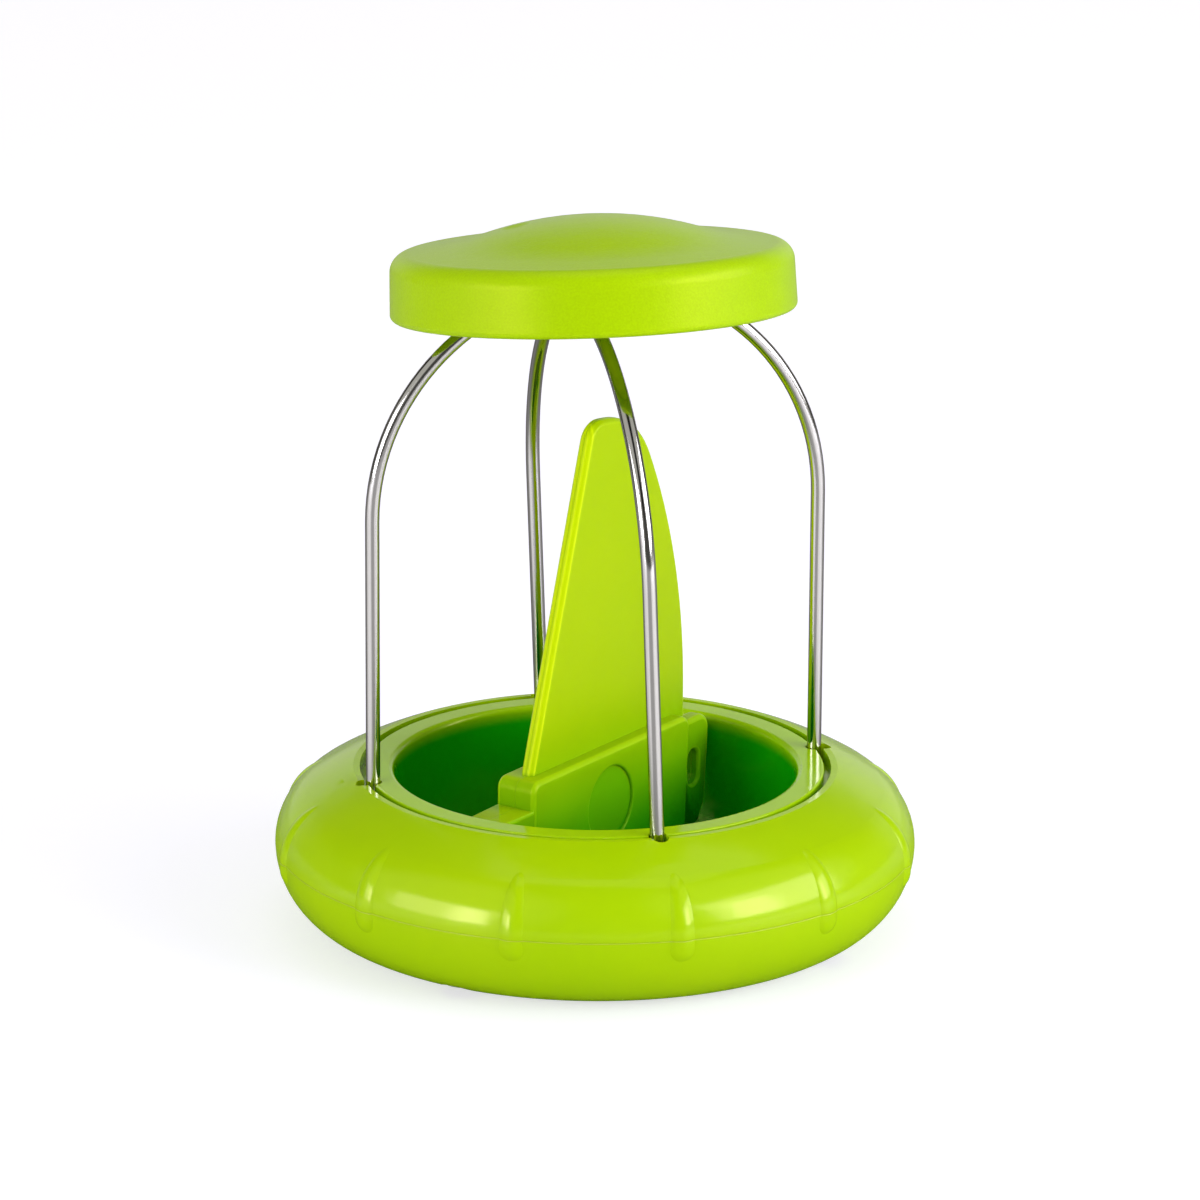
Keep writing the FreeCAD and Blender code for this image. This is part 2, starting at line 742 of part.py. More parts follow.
rest_limit = primitive(
    "Cylinder", "rest_limit", {"Radius": z.hole_radius + z.collar_wall / 2, "Height": z.land_height})
collar_notches = []
for number, angle in enumerate(wire_angles):
    x, y = foot_place(angle, wire_circle)
    collar_notches.append(primitive(
        "Cylinder", "collar_notch_%d" % number,
        {"Radius": z.notch_width / 2, "Height": z.flange_thickness + z.shell_wall},
        (x, y, flange_level - z.shell_wall / 2)))
inner_collar = cut(
    "inner_collar_piece",
    fuse("collar_joined", [collar_body, common("rests_trimmed", rest_limit, fuse("rest_blocks", rests))]),
    fuse("collar_openings", collar_notches))


# Wire arches: a round rod with two straight legs, a half round crown and two feet that
# are bent outward inside the ring.
def arch(name, spring_height):
    leg_foot = z.foot_height + z.foot_bend_radius
    bend_out = wire_circle + z.foot_bend_radius
    path = doc.addObject("Sketcher::SketchObject", name + "_path")
    draw(
        path,
        [
            (foot_tip, z.foot_height),
            (bend_out, z.foot_height),
            (wire_circle, leg_foot),
            (wire_circle, spring_height),
            (-wire_circle, spring_height),
            (-wire_circle, leg_foot),
            (-bend_out, z.foot_height),
            (-foot_tip, z.foot_height),
        ],
        [
            None,
            (z.foot_bend_radius, False, (bend_out, leg_foot)),
            None,
            (wire_circle, True, (as_size(0), spring_height)),
            None,
            (z.foot_bend_radius, False, (-bend_out, leg_foot)),
            None,
        ],
        closed=False)
    path.Placement = FreeCAD.Placement(Vec(0, 0, 0), Rot(X_AXIS, 90))
    section = primitive("Circle", name + "_section", {"Radius": wire_radius}, (foot_tip, as_size(0), z.foot_height),
                        Rot(Y_AXIS, 90))
    rod = doc.addObject("Part::Sweep", name)
    rod.Sections = [section]
    rod.Spine = (path, [])
    rod.Solid = True
    rod.Frenet = False
    doc.recompute()
    length = path.Shape.Length
    expected = math.pi * wire_radius.number ** 2 * length
    if abs(rod.Shape.Volume - expected) > 0.01 * expected:
        raise ValueError(name + " has the wrong volume")
    return rod


upper_arch = arch("upper_arch", z.arch_spring_height)
lower_arch = arch("lower_arch", z.lower_arch_spring_height)
# The lower arch stands across the upper one and leans about its feet.
twist = 90.0 - math.degrees(math.atan2(z.back_foot_offset.number, 2 * wire_circle.number))
pivot = Vec(0, 0, flange_level.number)
lean = FreeCAD.Placement(Vec(0, 0, 0), Rot(X_AXIS, -z.lower_arch_lean.number), pivot)
lower_arch.Placement = FreeCAD.Placement(
    Vec(z.back_foot_offset.number / 2, 0, 0), Rot(Z_AXIS, twist)).multiply(lean)


# Knife: one moulding. Handle block, tab and ear at its ends, blade on top.
# It is drawn in its own plane, with its middle on the ring's axis.
def up(height):
    return z.land_height + height


def down(depth):
    return z.land_height - depth


knife = new_body("knife_piece")
# Blade: straight spine on the left, round nose, long curved edge on the right.
edge_centre_x = z.blade_edge_reach - z.blade_edge_radius
edge_centre_z = up(z.blade_edge_level)
nose_centre_z = up(z.blade_top - z.blade_nose_radius)
centres_apart = (z.blade_edge_radius - z.blade_nose_radius).number
centres_rise = (nose_centre_z - edge_centre_z).number
centres_run = math.sqrt(centres_apart ** 2 - centres_rise ** 2)
nose_centre_x = edge_centre_x.number + centres_run
stretch = z.blade_edge_radius.number / centres_apart
nose_join = (edge_centre_x.number + centres_run * stretch, edge_centre_z.number + centres_rise * stretch)
tip_z = up(z.blade_top + z.tip_rise)
to_tip_x = -z.spine_tip.number - nose_centre_x
to_tip_z = tip_z.number - nose_centre_z.number
tip_direction = math.atan2(to_tip_z, to_tip_x)
touch_angle = tip_direction - math.acos(z.blade_nose_radius.number / math.hypot(to_tip_x, to_tip_z))
top_join = (
    nose_centre_x + z.blade_nose_radius.number * math.cos(touch_angle),
    nose_centre_z.number + z.blade_nose_radius.number * math.sin(touch_angle))
blade = padded(
    knife, "blade",
    [
        (-z.blade_heel, z.land_height),
        (z.blade_edge_reach, z.land_height),
        (z.blade_edge_reach, edge_centre_z),
        nose_join + ("smooth",),
        top_join + ("smooth",),
        (-z.spine_tip, tip_z),
    ],
    [
        None, None,
        (z.blade_edge_radius, True, (edge_centre_x, edge_centre_z)),
        (z.blade_nose_radius, True, (nose_centre_x, nose_centre_z)),
        None, None,
    ],
    z.blade_thickness)
tip = edges_at(blade, lambda edge: crosswise(edge, -z.spine_tip, tip_z))
blade = dressed(knife, "Fillet", blade, tip, z.blade_tip_round, "blade_tip")


def on_blade_rim(edge):
    """Whether the edge belongs to the outline of one of the blade's flat faces."""
    ends = [edge.valueAt(edge.FirstParameter), edge.valueAt(edge.LastParameter)]
    same_face = abs(ends[0].y - ends[1].y) < 0.01
    above_foot = max(point.z for point in ends) > z.land_height.number + 0.01
    return same_face and above_foot


rim = edges_at(blade, on_blade_rim)
blade = dressed(knife, "Chamfer", blade, rim, z.blade_bevel, "blade_bevel")

# Handle block with rounded corners.
handle = padded(
    knife, "handle",
    [
        (-z.handle_left, down(z.handle_drop)),
        (z.handle_right - z.handle_lean, down(z.handle_drop)),
        (z.handle_right, up(z.handle_rise)),
        (-z.handle_left, up(z.handle_rise)),
    ],
    [None] * 4, z.handle_thickness)
corners = edges_at(handle, lambda edge: (
    crosswise(edge, -z.handle_left, up(z.handle_rise)) or crosswise(edge, z.handle_right, up(z.handle_rise))))
handle = dressed(knife, "Fillet", handle, corners, z.handle_corner_round, "handle_corners")
faces = edges_at(handle, lambda edge: all(
    abs(abs(vertex.Point.y) - z.handle_thickness.number / 2) < 0.01 for vertex in edge.Vertexes)
    and abs(edge.Vertexes[0].Point.y - edge.Vertexes[-1].Point.y) < 0.01)
handle = dressed(knife, "Fillet", handle, faces, z.handle_edge_round, "handle_edges")

tab_end = z.hole_radius - z.tab_wall_gap
tab = padded(
    knife, "tab",
    [
        (-tab_end, down(z.ear_drop)),
        (-(z.handle_left - z.handle_corner_round), down(z.ear_drop)),
        (-(z.handle_left - z.handle_corner_round), down(z.tab_drop)),
        (-tab_end, down(z.tab_drop)),
    ],
    [None] * 4, z.tab_thickness)
tab_corner = edges_at(tab, lambda edge: crosswise(edge, -tab_end, down(z.ear_drop)))
tab = dressed(knife, "Fillet", tab, tab_corner, z.ear_top_round, "tab_corner")

ear_end = z.hole_radius - z.ear_wall_gap
ear_root = z.handle_right - z.handle_lean - z.handle_corner_round
ear = padded(
    knife, "ear",
    [
        (ear_root, down(z.ear_drop)),
        (ear_end - z.ear_lean, down(z.ear_drop)),
        (ear_end, down(z.ear_top_round)),
        (ear_end, up(z.ear_rise)),
        (ear_root, up(z.ear_rise)),
    ],
    [None] * 5, z.ear_thickness)
ear_top = edges_at(ear, lambda edge: crosswise(edge, ear_end, up(z.ear_rise)))
ear = dressed(knife, "Fillet", ear, ear_top, z.ear_top_round, "ear_top_corner")
ear_low = edges_at(ear, lambda edge: crosswise(edge, ear_end - z.ear_lean, down(z.ear_drop)))
ear = dressed(knife, "Fillet", ear, ear_low, z.ear_bottom_round, "ear_low_corner")

# Slot through the ear and thumb recesses on both faces of the handle.
slot_x = ear_end - z.ear_slot_inset
slot_half = z.ear_slot_width / 2
slot_run = (z.ear_slot_length - z.ear_slot_width) / 2
slot_sketch = knife.newObject("Sketcher::SketchObject", "ear_slot_outline")
slot_sketch.AttachmentSupport = [(plane_of(knife, "XZ_Plane"), "")]
slot_sketch.MapMode = "FlatFace"
draw(
    slot_sketch,
    [
        (slot_x + slot_half, down(z.ear_slot_drop) - slot_run),
        (slot_x + slot_half, down(z.ear_slot_drop) + slot_run),
        (slot_x - slot_half, down(z.ear_slot_drop) + slot_run),
        (slot_x - slot_half, down(z.ear_slot_drop) - slot_run),
    ],
    [
        None,
        (slot_half, True, (slot_x, down(z.ear_slot_drop) + slot_run)),
        None,
        (slot_half, True, (slot_x, down(z.ear_slot_drop) - slot_run)),
    ])
slot = knife.newObject("PartDesign::Pocket", "ear_slot")
slot.Profile = slot_sketch
slot.SideType = "Symmetric"
bind(slot, "Length", z.handle_thickness)
doc.recompute()

for side, name in ((1, "front"), (-1, "back")):
    outline = knife.newObject("Sketcher::SketchObject", name + "_thumb_outline")
    outline.AttachmentSupport = [(plane_of(knife, "XZ_Plane"), "")]
    outline.MapMode = "FlatFace"
    bind(outline, "AttachmentOffset.Base.z", (z.handle_thickness / 2 - z.thumb_depth) * side)
    outline.addGeometry(Part.Circle(
        Vec(-z.thumb_shift.number, down(z.thumb_drop).number, 0), Z_AXIS, z.thumb_radius.number), False)
    lock(outline, 0, 3, (-z.thumb_shift, down(z.thumb_drop)))
    where = outline.addConstraint(Sketcher.Constraint("Radius", 0, z.thumb_radius.number))
    outline.setExpression("Constraints[%d]" % where, z.thumb_radius.text)
    thumb = knife.newObject("PartDesign::Pocket", name + "_thumb")
    thumb.Profile = outline
    thumb.Type = "ThroughAll"
    thumb.Reversed = side > 0
    doc.recompute()
knife.Placement = FreeCAD.Placement(Vec(0, 0, 0), turned(z.knife_angle.number))

# Cap: a shallow drafted cup with a low dome on top and a small dimple beside the dome's
# middle. Inside, two guide ribs straddle the upper arch and a seat rests on its crown.
cap_top_radius = z.cap_radius - z.cap_draft
flat_end = cap_top_radius - z.cap_top_round
dome_top = z.cap_height + z.cap_slope + z.dome_rise
dome_centre = dome_top - z.dome_curve


def hollow_join_of(dome_radius, base, hollow_radius):
    """Point where the dome runs into the concave curve that rises from the flat ring."""
    dx = base[0]
    dy = base[1] - dome_centre.number
    gap = math.hypot(dx, dy)
    apart = dome_radius + hollow_radius
    along = (apart * apart - hollow_radius * hollow_radius + gap * gap) / (2 * gap)
    across = math.sqrt(max(apart * apart - along * along, 0.0))
    found = []
    for side in (1.0, -1.0):
        found.append(((along * dx - side * across * dy) / gap, (along * dy + side * across * dx) / gap))
    found.sort(key=lambda centre: centre[1])
    cx, cy = found[-1]
    return cx / apart * dome_radius, dome_centre.number + cy / apart * dome_radius


def cap_profile(inset):
    """Points and edges from the flat ring to the middle of the dome, inset into the wall."""
    base = (z.dome_radius, z.cap_height + z.cap_slope - inset)
    dome = z.dome_curve - inset
    hollow = z.dome_hollow_curve + inset
    join = hollow_join_of(dome.number, (base[0].number, base[1].number), hollow.number)
    points = [(flat_end, z.cap_height - inset), base, join + ("smooth",), (0, dome_top - inset)]
    edges = [None, (hollow, False), (dome, True, (as_size(0), dome_centre)), None]
    return points, edges


points, edges = cap_profile(as_size(0))
cap_outside = revolved(
    "cap_outside",
    [(0, 0), (z.cap_radius, 0), (cap_top_radius, z.cap_height)] + points,
    [None, None, None] + edges)
doc.recompute()
cap_turning = cap_outside.Tip
top_edge = edges_at(cap_turning, lambda edge: circle_at(edge, cap_top_radius, z.cap_height))
cap_turning = dressed(cap_outside, "Fillet", cap_turning, top_edge, z.cap_top_round, "cap_top_rounding")
rim_edge = edges_at(cap_turning, lambda edge: circle_at(edge, z.cap_radius, as_size(0)))
dressed(cap_outside, "Fillet", cap_turning, rim_edge, z.cap_rim_round, "cap_rim_rounding")
points, edges = cap_profile(z.cap_wall)
cap_hollow = revolved(
    "cap_hollow",
    [(0, -z.cap_wall), (z.cap_radius - z.cap_wall, -z.cap_wall), (z.cap_radius - z.cap_wall, 0),
     (cap_top_radius - z.cap_wall, z.cap_height - z.cap_wall)] + points,
    [None, None, None, None] + edges)

# The upper arch crosses the tilted cap a little beside the cap's middle.
tilt_sine = sine(z.cap_tilt)
tilt_cosine = cosine(z.cap_tilt)
guide_middle = -(z.cap_shift_y * tilt_cosine + (z.cap_sink - z.guide_sag) * tilt_sine)
guide_inner = wire_radius + z.guide_gap
seat_level = z.cap_sink * tilt_cosine - z.cap_shift_y * tilt_sine + wire_radius + z.seat_gap
inside_pieces = []
for name, edge_y in (("front_guide", guide_middle - guide_inner - z.guide_wall), ("back_guide", guide_middle + guide_inner)):
    inside_pieces.append(primitive(
        "Box", name, {"Length": z.guide_length, "Width": z.guide_wall, "Height": dome_top - z.guide_start},
        (-(z.guide_length / 2), edge_y, z.guide_start)))
inside_pieces.append(primitive(
    "Box", "seat", {"Length": z.seat_length, "Width": guide_inner * 2, "Height": dome_top - seat_level},
    (-(z.seat_length / 2), guide_middle - guide_inner, seat_level)))
cap_inside = common("cap_inside", fuse("cap_inside_blocks", inside_pieces), cap_hollow)

dimple_half = z.dimple_diameter / 2
dimple_ball = (dimple_half * dimple_half + z.dimple_depth * z.dimple_depth) / (z.dimple_depth * 2)
dimple_lift = z.dome_curve + dimple_ball - z.dimple_depth
dimple_x, dimple_y = around(z.dimple_place * dimple_lift / z.dome_curve, z.dimple_angle.number)
flank = root(z.dome_curve * z.dome_curve - z.dimple_place * z.dimple_place) / z.dome_curve
dimple = primitive("Sphere", "dimple", {"Radius": dimple_ball}, (dimple_x, dimple_y, dome_centre + dimple_lift * flank))
cap = cut("cap_piece", fuse("cap_joined", [cut("cap_skin", cap_outside, cap_hollow), cap_inside]), dimple)
crown_level = z.arch_spring_height + wire_circle
tilt_way = math.radians(z.cap_tilt_angle.number)
cap.Placement = FreeCAD.Placement(
    Vec(z.cap_shift_x.number, z.cap_shift_y.number, (crown_level - z.cap_sink).number),
    Rot(Vec(-math.sin(tilt_way), math.cos(tilt_way), 0), z.cap_tilt.number))

# Screws: four alike, driven up from below, heads in the lower shell's counterbores.
screws = []
for number, angle in enumerate(screw_angles):
    x, y = around(screw_circle, angle)
    shank = z.screw_shank_diameter / 2
    head_start = z.screw_seat_height - z.screw_head_height
    shank_end = z.screw_seat_height + z.screw_length - z.screw_point
    head = primitive(
        "Cylinder", "head_%d" % number,
        {"Radius": z.screw_head_diameter / 2, "Height": z.screw_head_height}, (x, y, head_start))
    rod = primitive(
        "Cylinder", "shank_%d" % number,
        {"Radius": shank, "Height": z.screw_length - z.screw_point}, (x, y, z.screw_seat_height))
    point = primitive(
        "Cone", "point_%d" % number,
        {"Radius1": shank, "Radius2": z.screw_point_radius, "Height": z.screw_point}, (x, y, shank_end))
    slots = []
    for side in (0, 90):
        slot_start = -(z.drive_slot_length / 2)
        turn = turned(angle + side)
        c = math.cos(math.radians(angle + side))
        s = math.sin(math.radians(angle + side))
        half = z.drive_slot_width / 2
        slots.append(primitive(
            "Box", "drive_slot_%d_%d" % (number, side),
            {"Length": z.drive_slot_length, "Width": z.drive_slot_width, "Height": z.drive_slot_depth},
            (x + slot_start * c + half * s, y + slot_start * s - half * c, head_start), turn))
    screws.append(cut("screw_%d" % number, fuse("screw_blank_%d" % number, [head, rod, point]),
                      fuse("screw_drive_%d" % number, slots)))
shell_screws = fuse("shell_screws_group", screws)

# The pieces that are written out, under the names of their nodes.
pieces = {
    "upper_shell": upper_shell,
    "lower_shell": lower_shell,
    "inner_collar": inner_collar,
    "upper_wire_arch": upper_arch,
    "lower_wire_arch": lower_arch,
    "knife": knife,
    "cap": cap,
    "shell_screws": shell_screws,
}
solids_wanted = {"shell_screws": screw_count}

doc.recompute()
for label, piece in pieces.items():
    piece.Label = label
faults = []
for thing in doc.Objects:
    if "Invalid" in thing.State or "Error" in thing.State:
        faults.append("%s is %s" % (thing.Name, thing.State))
for label, piece in pieces.items():
    shape = piece.Shape
    if shape.isNull() or not shape.isValid():
        faults.append(label + " has no valid shape")
    elif len(shape.Solids) != solids_wanted.get(label, 1):
        faults.append("%s has %d solids" % (label, len(shape.Solids)))
if faults:
    raise ValueError("; ".join(faults))
for label, piece in pieces.items():
    piece.Shape.exportStep("parts/%s.step" % label)
    box = piece.Shape.BoundBox
    print("%-16s volume %9.1f  x %6.2f..%6.2f  y %6.2f..%6.2f  z %6.2f..%6.2f" % (
        label, piece.Shape.Volume, box.XMin, box.XMax, box.YMin, box.YMax, box.ZMin, box.ZMax))
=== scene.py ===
# %% [markdown]
# # A kiwi slicer, dressed for its picture
#
# The tool is a glossy lime green ring that stands on a table. Two bright steel
# wires are bent into arches over it and cross under a domed cap. A plastic knife
# is stored in the round hole of the ring. The CAD model already holds every shape
# and size. This lesson adds what a picture needs: finishes, rounded edges on the
# knife, a table, light and a camera. All lengths are in metres.

import math

import bmesh
import bpy
from mathutils import Matrix, Vector


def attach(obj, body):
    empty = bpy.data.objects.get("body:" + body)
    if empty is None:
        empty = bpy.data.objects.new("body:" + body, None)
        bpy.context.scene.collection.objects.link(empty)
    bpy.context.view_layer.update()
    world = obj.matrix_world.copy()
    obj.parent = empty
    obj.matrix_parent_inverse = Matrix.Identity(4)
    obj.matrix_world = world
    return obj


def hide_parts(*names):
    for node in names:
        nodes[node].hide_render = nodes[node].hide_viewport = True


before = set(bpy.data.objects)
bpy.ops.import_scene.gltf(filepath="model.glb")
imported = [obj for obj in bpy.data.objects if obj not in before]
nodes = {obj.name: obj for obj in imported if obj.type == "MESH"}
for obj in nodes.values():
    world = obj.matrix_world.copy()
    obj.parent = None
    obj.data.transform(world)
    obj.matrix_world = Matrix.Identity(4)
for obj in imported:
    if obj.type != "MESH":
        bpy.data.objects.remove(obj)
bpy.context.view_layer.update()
print("CAD nodes:", sorted(nodes))

# %% [markdown]
# ## The camera
#
# The photograph was taken with a long lens from about a metre away, eighteen
# degrees above the table and a little to the left of the ring's own front. A
# camera in Blender looks along its own -Z with +Y up, so its turn can be written
# straight from three directions: right, up and back.

# %% Place the camera
camera_place = Vector((-0.25310, -0.91637, 0.33268))
camera_right = Vector((0.964205, -0.265097, 0.005669))
camera_up = Vector((0.071162, 0.279304, 0.957562))
camera_back = camera_right.cross(camera_up)

camera_data = bpy.data.cameras.new("long_lens")
camera_data.sensor_width = 36.0
camera_data.lens = 213.57
camera_data.clip_start = 0.05
camera_data.clip_end = 20.0
camera = bpy.data.objects.new("camera", camera_data)
bpy.context.scene.collection.objects.link(camera)
camera.matrix_world = Matrix.Translation(camera_place) @ Matrix(
    (camera_right, camera_up, camera_back)
).transposed().to_4x4()
bpy.context.scene.camera = camera
print("camera stands", round(camera_place.length, 3), "m from the foot of the ring")

# %% [markdown]
# ## Helpers for node trees
#
# Every finish is made of the same few moves: add a node, feed its inputs, use its
# output in the next one. `add` does the first two at once, because an input may be
# given a value or the output of another node. The others name the steps that come
# back all the time, so that a recipe reads like a recipe.


# %% Add a node and feed it
def add(tree, kind, inputs=None, **settings):
    """A new node. Each input, by name or number, gets a value or another node's output."""
    node = tree.nodes.new(kind)
    for name, setting in settings.items():
        setattr(node, name, setting)
    for label, given in (inputs or {}).items():
        if isinstance(given, bpy.types.NodeSocket):
            tree.links.new(given, node.inputs[label])
        else:
            node.inputs[label].default_value = given
    return node


def linear(red, green, blue):
    """A display colour of 0 to 255 as the linear colour that a shader works in."""

    def one(c):
        c = c / 255.0
        return c / 12.92 if c <= 0.04045 else ((c + 0.055) / 1.055) ** 2.4

    return (one(red), one(green), one(blue), 1.0)


print("lime in linear light:", [round(c, 3) for c in linear(167, 204, 2)])


# %% Steps on numbers and vectors
def calc(tree, operation, *given):
    """One step of arithmetic on numbers."""
    return add(tree, "ShaderNodeMath", dict(enumerate(given)), operation=operation).outputs[0]


def calc_vector(tree, operation, *given):
    """One step on vectors that gives a vector."""
    node = add(tree, "ShaderNodeVectorMath", dict(enumerate(given)), operation=operation)
    return node.outputs["Vector"]


def measure(tree, operation, *given):
    """One step on vectors that gives a number, such as a length."""
    node = add(tree, "ShaderNodeVectorMath", dict(enumerate(given)), operation=operation)
    return node.outputs["Value"]


def scaled(tree, vector, amount):
    """A vector or a colour, times a number."""
    node = add(tree, "ShaderNodeVectorMath", {0: vector, "Scale": amount}, operation="SCALE")
    return node.outputs["Vector"]


def height_of(tree, vector):
    """The upward part of a place or a direction."""
    return add(tree, "ShaderNodeSeparateXYZ", {0: vector}).outputs["Z"]


print("steps: calc, calc_vector, measure, scaled, height_of")


# %% Ranges, mixes and ramps
def stretch(tree, source, low, high, start=0.0, end=1.0, way="LINEAR"):
    """low to high becomes start to end. Beyond them the nearer end holds."""
    ends = {"Value": source, "From Min": low, "From Max": high, "To Min": start, "To Max": end}
    return add(tree, "ShaderNodeMapRange", ends, interpolation_type=way).outputs[0]


def ease(tree, source, low, high, start=0.0, end=1.0):
    """The same with a soft beginning and a soft end."""
    return stretch(tree, source, low, high, start, end, "SMOOTHSTEP")


def blend(tree, share, first, second):
    """Two colours mixed: share 0 gives the first, 1 the second."""
    colours = {0: share, 6: first, 7: second}
    return add(tree, "ShaderNodeMix", colours, data_type="RGBA").outputs[2]


def pick(tree, share, first, second):
    """Two numbers mixed in the same way."""
    numbers = {0: share, 2: first, 3: second}
    return add(tree, "ShaderNodeMix", numbers, data_type="FLOAT").outputs[0]


def grey_ramp(tree, source, stops):
    """Greys along source. stops are (place, grey) in rising order, from 0 to 1."""
    ramp = add(tree, "ShaderNodeValToRGB", {0: source})
    elements = ramp.color_ramp.elements
    first, *between, last = stops
    elements[0].position, elements[1].position = first[0], last[0]
    elements[0].color = (first[1], first[1], first[1], 1.0)
    elements[1].color = (last[1], last[1], last[1], 1.0)
    for where, grey in between:
        elements.new(where).color = (grey, grey, grey, 1.0)
    return ramp.outputs["Color"]


print("steps: stretch, ease, blend, pick, grey_ramp")

# %% [markdown]
# ## Small effects that several finishes share
#
# A moulded part is never perfectly smooth. Its skin has a faint waviness that
# bends reflections, and handling leaves fine hair marks. Where two mouldings meet
# there is a hairline. Each of these is made once as a node group, and every finish
# uses it at its own scale. A group hands out one number that varies over the
# surface: a height or a mask.


# %% An empty group
def new_group(name, inputs, output):
    """A node group with one number as output: the group, its inputs and its output."""
    kinds = {"value": "NodeSocketFloat", "vector": "NodeSocketVector"}
    group = bpy.data.node_groups.new(name, "ShaderNodeTree")
    for label, kind, default in inputs:
        socket = group.interface.new_socket(
            name=label, in_out="INPUT", socket_type=kinds[kind])
        socket.default_value = default
    group.interface.new_socket(name=output, in_out="OUTPUT", socket_type="NodeSocketFloat")
    start = group.nodes.new("NodeGroupInput").outputs
    end = group.nodes.new("NodeGroupOutput").inputs[output]
    return group, start, end


print("groups so far:", len(bpy.data.node_groups))

# %% [markdown]
# The waviness adds up two noises, a broad one and one 7.3 times finer. How much of
# the fine one is added makes the difference between a polished and a satin mould.

# %% Group: waviness of a moulded skin
skin_waves, start, end = new_group(
    "skin_waves",
    [("Vector", "vector", (0, 0, 0)), ("Scale", "value", 300.0), ("Fine", "value", 0.3)],
    "Height",
)
broad = add(
    skin_waves, "ShaderNodeTexNoise",
    {"Vector": start["Vector"], "Scale": start["Scale"], "Detail": 2.0, "Roughness": 0.45})
finer_scale = calc(skin_waves, "MULTIPLY", start["Scale"], 7.3)
finer = add(
    skin_waves, "ShaderNodeTexNoise",
    {"Vector": start["Vector"], "Scale": finer_scale, "Detail": 3.0, "Roughness": 0.6})
height = calc(
    skin_waves, "MULTIPLY_ADD", finer.outputs["Fac"], start["Fine"], broad.outputs["Fac"])
skin_waves.links.new(height, end)
print("group made:", skin_waves.name)

# %% [markdown]
# Hair marks are short, slightly bent dashes. They come from a noise that is read
# more slowly along one axis, so that its blobs become long and thin, and from a
# threshold so high that only the rarest of them stay. A second, slow noise bends
# them a little.

# %% Group: hair marks
hair_marks, start, end = new_group(
    "hair_marks",
    [("Vector", "vector", (0, 0, 0)), ("Scale", "value", 420.0), ("Rare", "value", 0.74)],
    "Mask",
)
swirl = add(
    hair_marks, "ShaderNodeTexNoise", {"Vector": start["Vector"], "Scale": 35.0, "Detail": 1.0})
bent = calc_vector(
    hair_marks, "MULTIPLY_ADD", swirl.outputs["Color"], (0.006, 0.006, 0.006), start["Vector"])
squeezed = calc_vector(hair_marks, "MULTIPLY", bent, (1.0, 1.0, 0.07))
dashes = add(
    hair_marks, "ShaderNodeTexNoise",
    {"Vector": squeezed, "Scale": start["Scale"], "Detail": 1.0})
full_mark = calc(hair_marks, "ADD", start["Rare"], 0.06)
hair_marks.links.new(ease(hair_marks, dashes.outputs["Fac"], start["Rare"], full_mark), end)
print("group made:", hair_marks.name)

# %% [markdown]
# The hairline is a thin band round one level: the distance from that level, faded
# out within a tenth of a millimetre.

# %% Group: the hairline where two mouldings meet
seam_line, start, end = new_group(
    "seam_line",
    [("Place", "value", 0.0), ("Level", "value", 0.01165), ("Half width", "value", 0.00011)],
    "Mask",
)
distance = calc(
    seam_line, "ABSOLUTE", calc(seam_line, "SUBTRACT", start["Place"], start["Level"]))
seam_line.links.new(ease(seam_line, distance, 0.0, start["Half width"], 1.0, 0.0), end)
print("group made:", seam_line.name)

# %% [markdown]
# ## The lime green plastic, one effect at a time
#
# The ring, the knife and the cap are moulded in one bright lime green plastic.
# First its pigment: a moulding is never one flat colour, because the pigment is
# mixed a little unevenly, so the green drifts slowly between a deeper and a paler
# one. The cap has a satin skin as well, with a grain that is almost too fine to see.


# %% Pigment and grain
def clouded_pigment(tree, place, pigment):
    """The pigment with a slow, slight change of depth, and the noise that steers it."""
    cloud = add(tree, "ShaderNodeTexNoise", {"Vector": place, "Scale": 45.0, "Detail": 3.0})
    red, green, blue = pigment[:3]
    deep = (red * 0.88, green * 0.95, blue, 1.0)
    pale = (red * 1.08, green * 1.02, blue, 1.0)
    return blend(tree, cloud.outputs["Fac"], deep, pale), cloud.outputs["Fac"]


def satin_grain(tree, place, colour, amount):
    """Lighter and darker grains, about a quarter of a millimetre apart."""
    grain = add(tree, "ShaderNodeTexNoise", {"Vector": place, "Scale": 3600.0, "Detail": 1.0})
    level = stretch(tree, grain.outputs["Fac"], 0.30, 0.70, 1.0 - amount, 1.0 + amount)
    return scaled(tree, colour, level)


print("effects: pigment, grain")

# %% [markdown]
# Deep in the round hole the plastic looks dark green: light that has bounced from
# green wall to green wall has lost its red. A render bounces light as well, but the
# real pigment is purer than any display colour, so the rest is painted shade: below
# a level the pigment is a deeper green. Faces near the rim that look straight up
# get a painted light instead, as they catch the light of the room, so they keep most
# of the plain pigment.


# %% Painted shade: the deeper green, low in the hole
def painted_hole_shade(tree, place, colour, shade_colour, low, high):
    """Painted shade: shade_colour below the height low, the plain colour above the height high.
    """
    height = height_of(tree, place)
    normal = add(tree, "ShaderNodeNewGeometry").outputs["Normal"]
    # painted light: faces near the rim that look straight up keep the plain pigment
    looks_up = ease(tree, height_of(tree, normal), 0.5, 0.95, 0.0, 0.85)
    near_rim = ease(tree, height, 0.0185, 0.0205)
    painted_top_light = calc(tree, "MULTIPLY", looks_up, near_rim)
    above = ease(tree, height, low, high)
    return blend(tree, calc(tree, "MAXIMUM", above, painted_top_light), shade_colour, colour)


print("effect: deeper green below a level")
